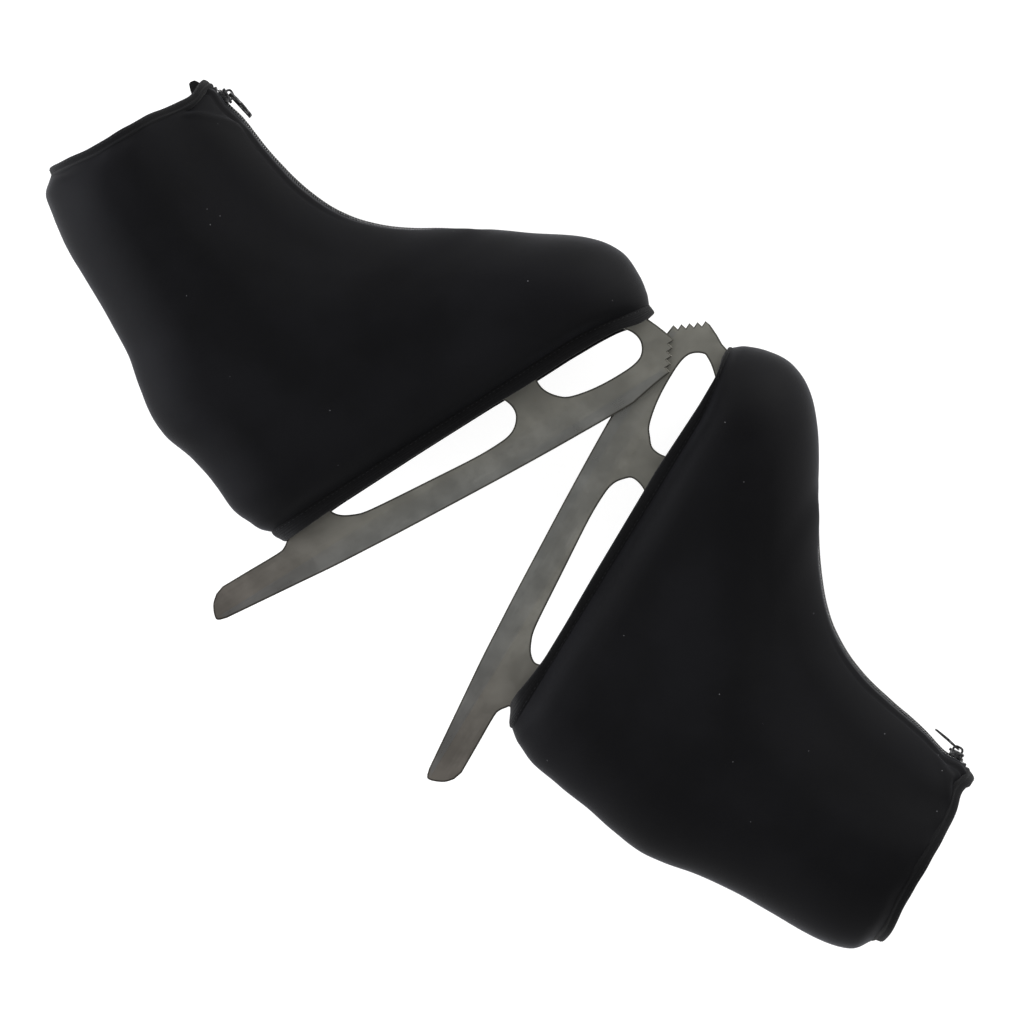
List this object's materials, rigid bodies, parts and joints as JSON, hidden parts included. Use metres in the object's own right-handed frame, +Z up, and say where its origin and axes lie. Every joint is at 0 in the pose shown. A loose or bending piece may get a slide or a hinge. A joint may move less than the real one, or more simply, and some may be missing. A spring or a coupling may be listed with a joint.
{
  "type": "pair of figure skates in boot covers",
  "caption": "Pair of lace-up figure skates, each inside a black zipped neoprene boot cover that leaves the toe-pick blade bare, lying on their sides with the blades crossed.",
  "frame": {"origin": "middle of the pair's bounding box, on the surface it lies on", "axes": "+Z up from the surface; +X and +Y span it, the right skate's toe pointing 32 degrees from +X towards +Y"},
  "size_m": [0.5004, 0.4674, 0.0903],
  "materials": {
    "neoprene": "matte, smooth-skinned neoprene with a soft sheen",
    "hem_fabric": "matte folded binding",
    "zip_tape": "woven tape",
    "zip_coil": "moulded nylon coil, slight gloss",
    "zip_metal": "dark plated zinc",
    "blade_steel": "dull warm grey, faint mottling, ground along the edge",
    "plate_steel": "satin",
    "boot_leather": "smooth, black",
    "boot_sole": "lacquered",
    "insole_foam": "felted"
  },
  "bodies": {
    "right_skate": {"right_blade": "blade_steel", "right_boot_heel": "boot_sole", "right_boot_inner_quarter": "boot_leather", "right_boot_insole": "insole_foam", "right_boot_outer_quarter": "boot_leather", "right_boot_outsole": "boot_sole", "right_boot_tongue": "boot_leather", "right_collar_hem": "hem_fabric", "right_cover_inner_panel": "neoprene", "right_cover_outer_panel": "neoprene", "right_heel_plate": "plate_steel", "right_heel_screw_1": "plate_steel", "right_heel_screw_2": "plate_steel", "right_heel_screw_3": "plate_steel", "right_heel_screw_4": "plate_steel", "right_sole_hem": "hem_fabric", "right_toe_plate": "plate_steel", "right_toe_screw_1": "plate_steel", "right_toe_screw_2": "plate_steel", "right_toe_screw_3": "plate_steel", "right_toe_screw_4": "plate_steel", "right_zip_bottom_stop": "zip_metal", "right_zip_coil_inner": "zip_coil", "right_zip_coil_outer": "zip_coil", "right_zip_tape_inner": "zip_tape", "right_zip_tape_outer": "zip_tape", "right_zip_top_stop_inner": "zip_metal", "right_zip_top_stop_outer": "zip_metal"},
    "right_slider": {"right_zip_slider": "zip_metal"},
    "right_pull": {"right_zip_pull": "zip_metal"},
    "left_skate": {"left_blade": "blade_steel", "left_boot_heel": "boot_sole", "left_boot_inner_quarter": "boot_leather", "left_boot_insole": "insole_foam", "left_boot_outer_quarter": "boot_leather", "left_boot_outsole": "boot_sole", "left_boot_tongue": "boot_leather", "left_collar_hem": "hem_fabric", "left_cover_inner_panel": "neoprene", "left_cover_outer_panel": "neoprene", "left_heel_plate": "plate_steel", "left_heel_screw_1": "plate_steel", "left_heel_screw_2": "plate_steel", "left_heel_screw_3": "plate_steel", "left_heel_screw_4": "plate_steel", "left_sole_hem": "hem_fabric", "left_toe_plate": "plate_steel", "left_toe_screw_1": "plate_steel", "left_toe_screw_2": "plate_steel", "left_toe_screw_3": "plate_steel", "left_toe_screw_4": "plate_steel", "left_zip_bottom_stop": "zip_metal", "left_zip_coil_inner": "zip_coil", "left_zip_coil_outer": "zip_coil", "left_zip_tape_inner": "zip_tape", "left_zip_tape_outer": "zip_tape", "left_zip_top_stop_inner": "zip_metal", "left_zip_top_stop_outer": "zip_metal"},
    "left_slider": {"left_zip_slider": "zip_metal"},
    "left_pull": {"left_zip_pull": "zip_metal"}
  },
  "joints": [
    {"name": "right_zip_travel", "type": "hinge", "parent": "right_skate", "child": "right_slider", "pos_m": [-0.03228, 0.29043, 0.04105], "axis": [-0.0084, 0.0133, 0.9999], "range_deg": [0, 66]},
    {"name": "right_pull_hinge", "type": "hinge", "parent": "right_slider", "child": "right_pull", "pos_m": [-0.1506, 0.22646, 0.04091], "axis": [-0.0084, 0.0133, 0.9999], "range_deg": [-10, 155]},
    {"name": "left_zip_travel", "type": "hinge", "parent": "left_skate", "child": "left_slider", "pos_m": [0.30455, -0.0081, 0.04345], "axis": [0.0134, -0.0082, -0.9999], "range_deg": [0, 66]},
    {"name": "left_pull_hinge", "type": "hinge", "parent": "left_slider", "child": "left_pull", "pos_m": [0.24265, -0.12751, 0.04359], "axis": [0.0134, -0.0082, -0.9999], "range_deg": [-10, 155]},
    {"name": "pair_separation", "type": "slide", "parent": "right_skate", "child": "left_skate", "axis": [0.5344, -0.8453, 0], "range_m": [0, 0.15]}
  ]
}
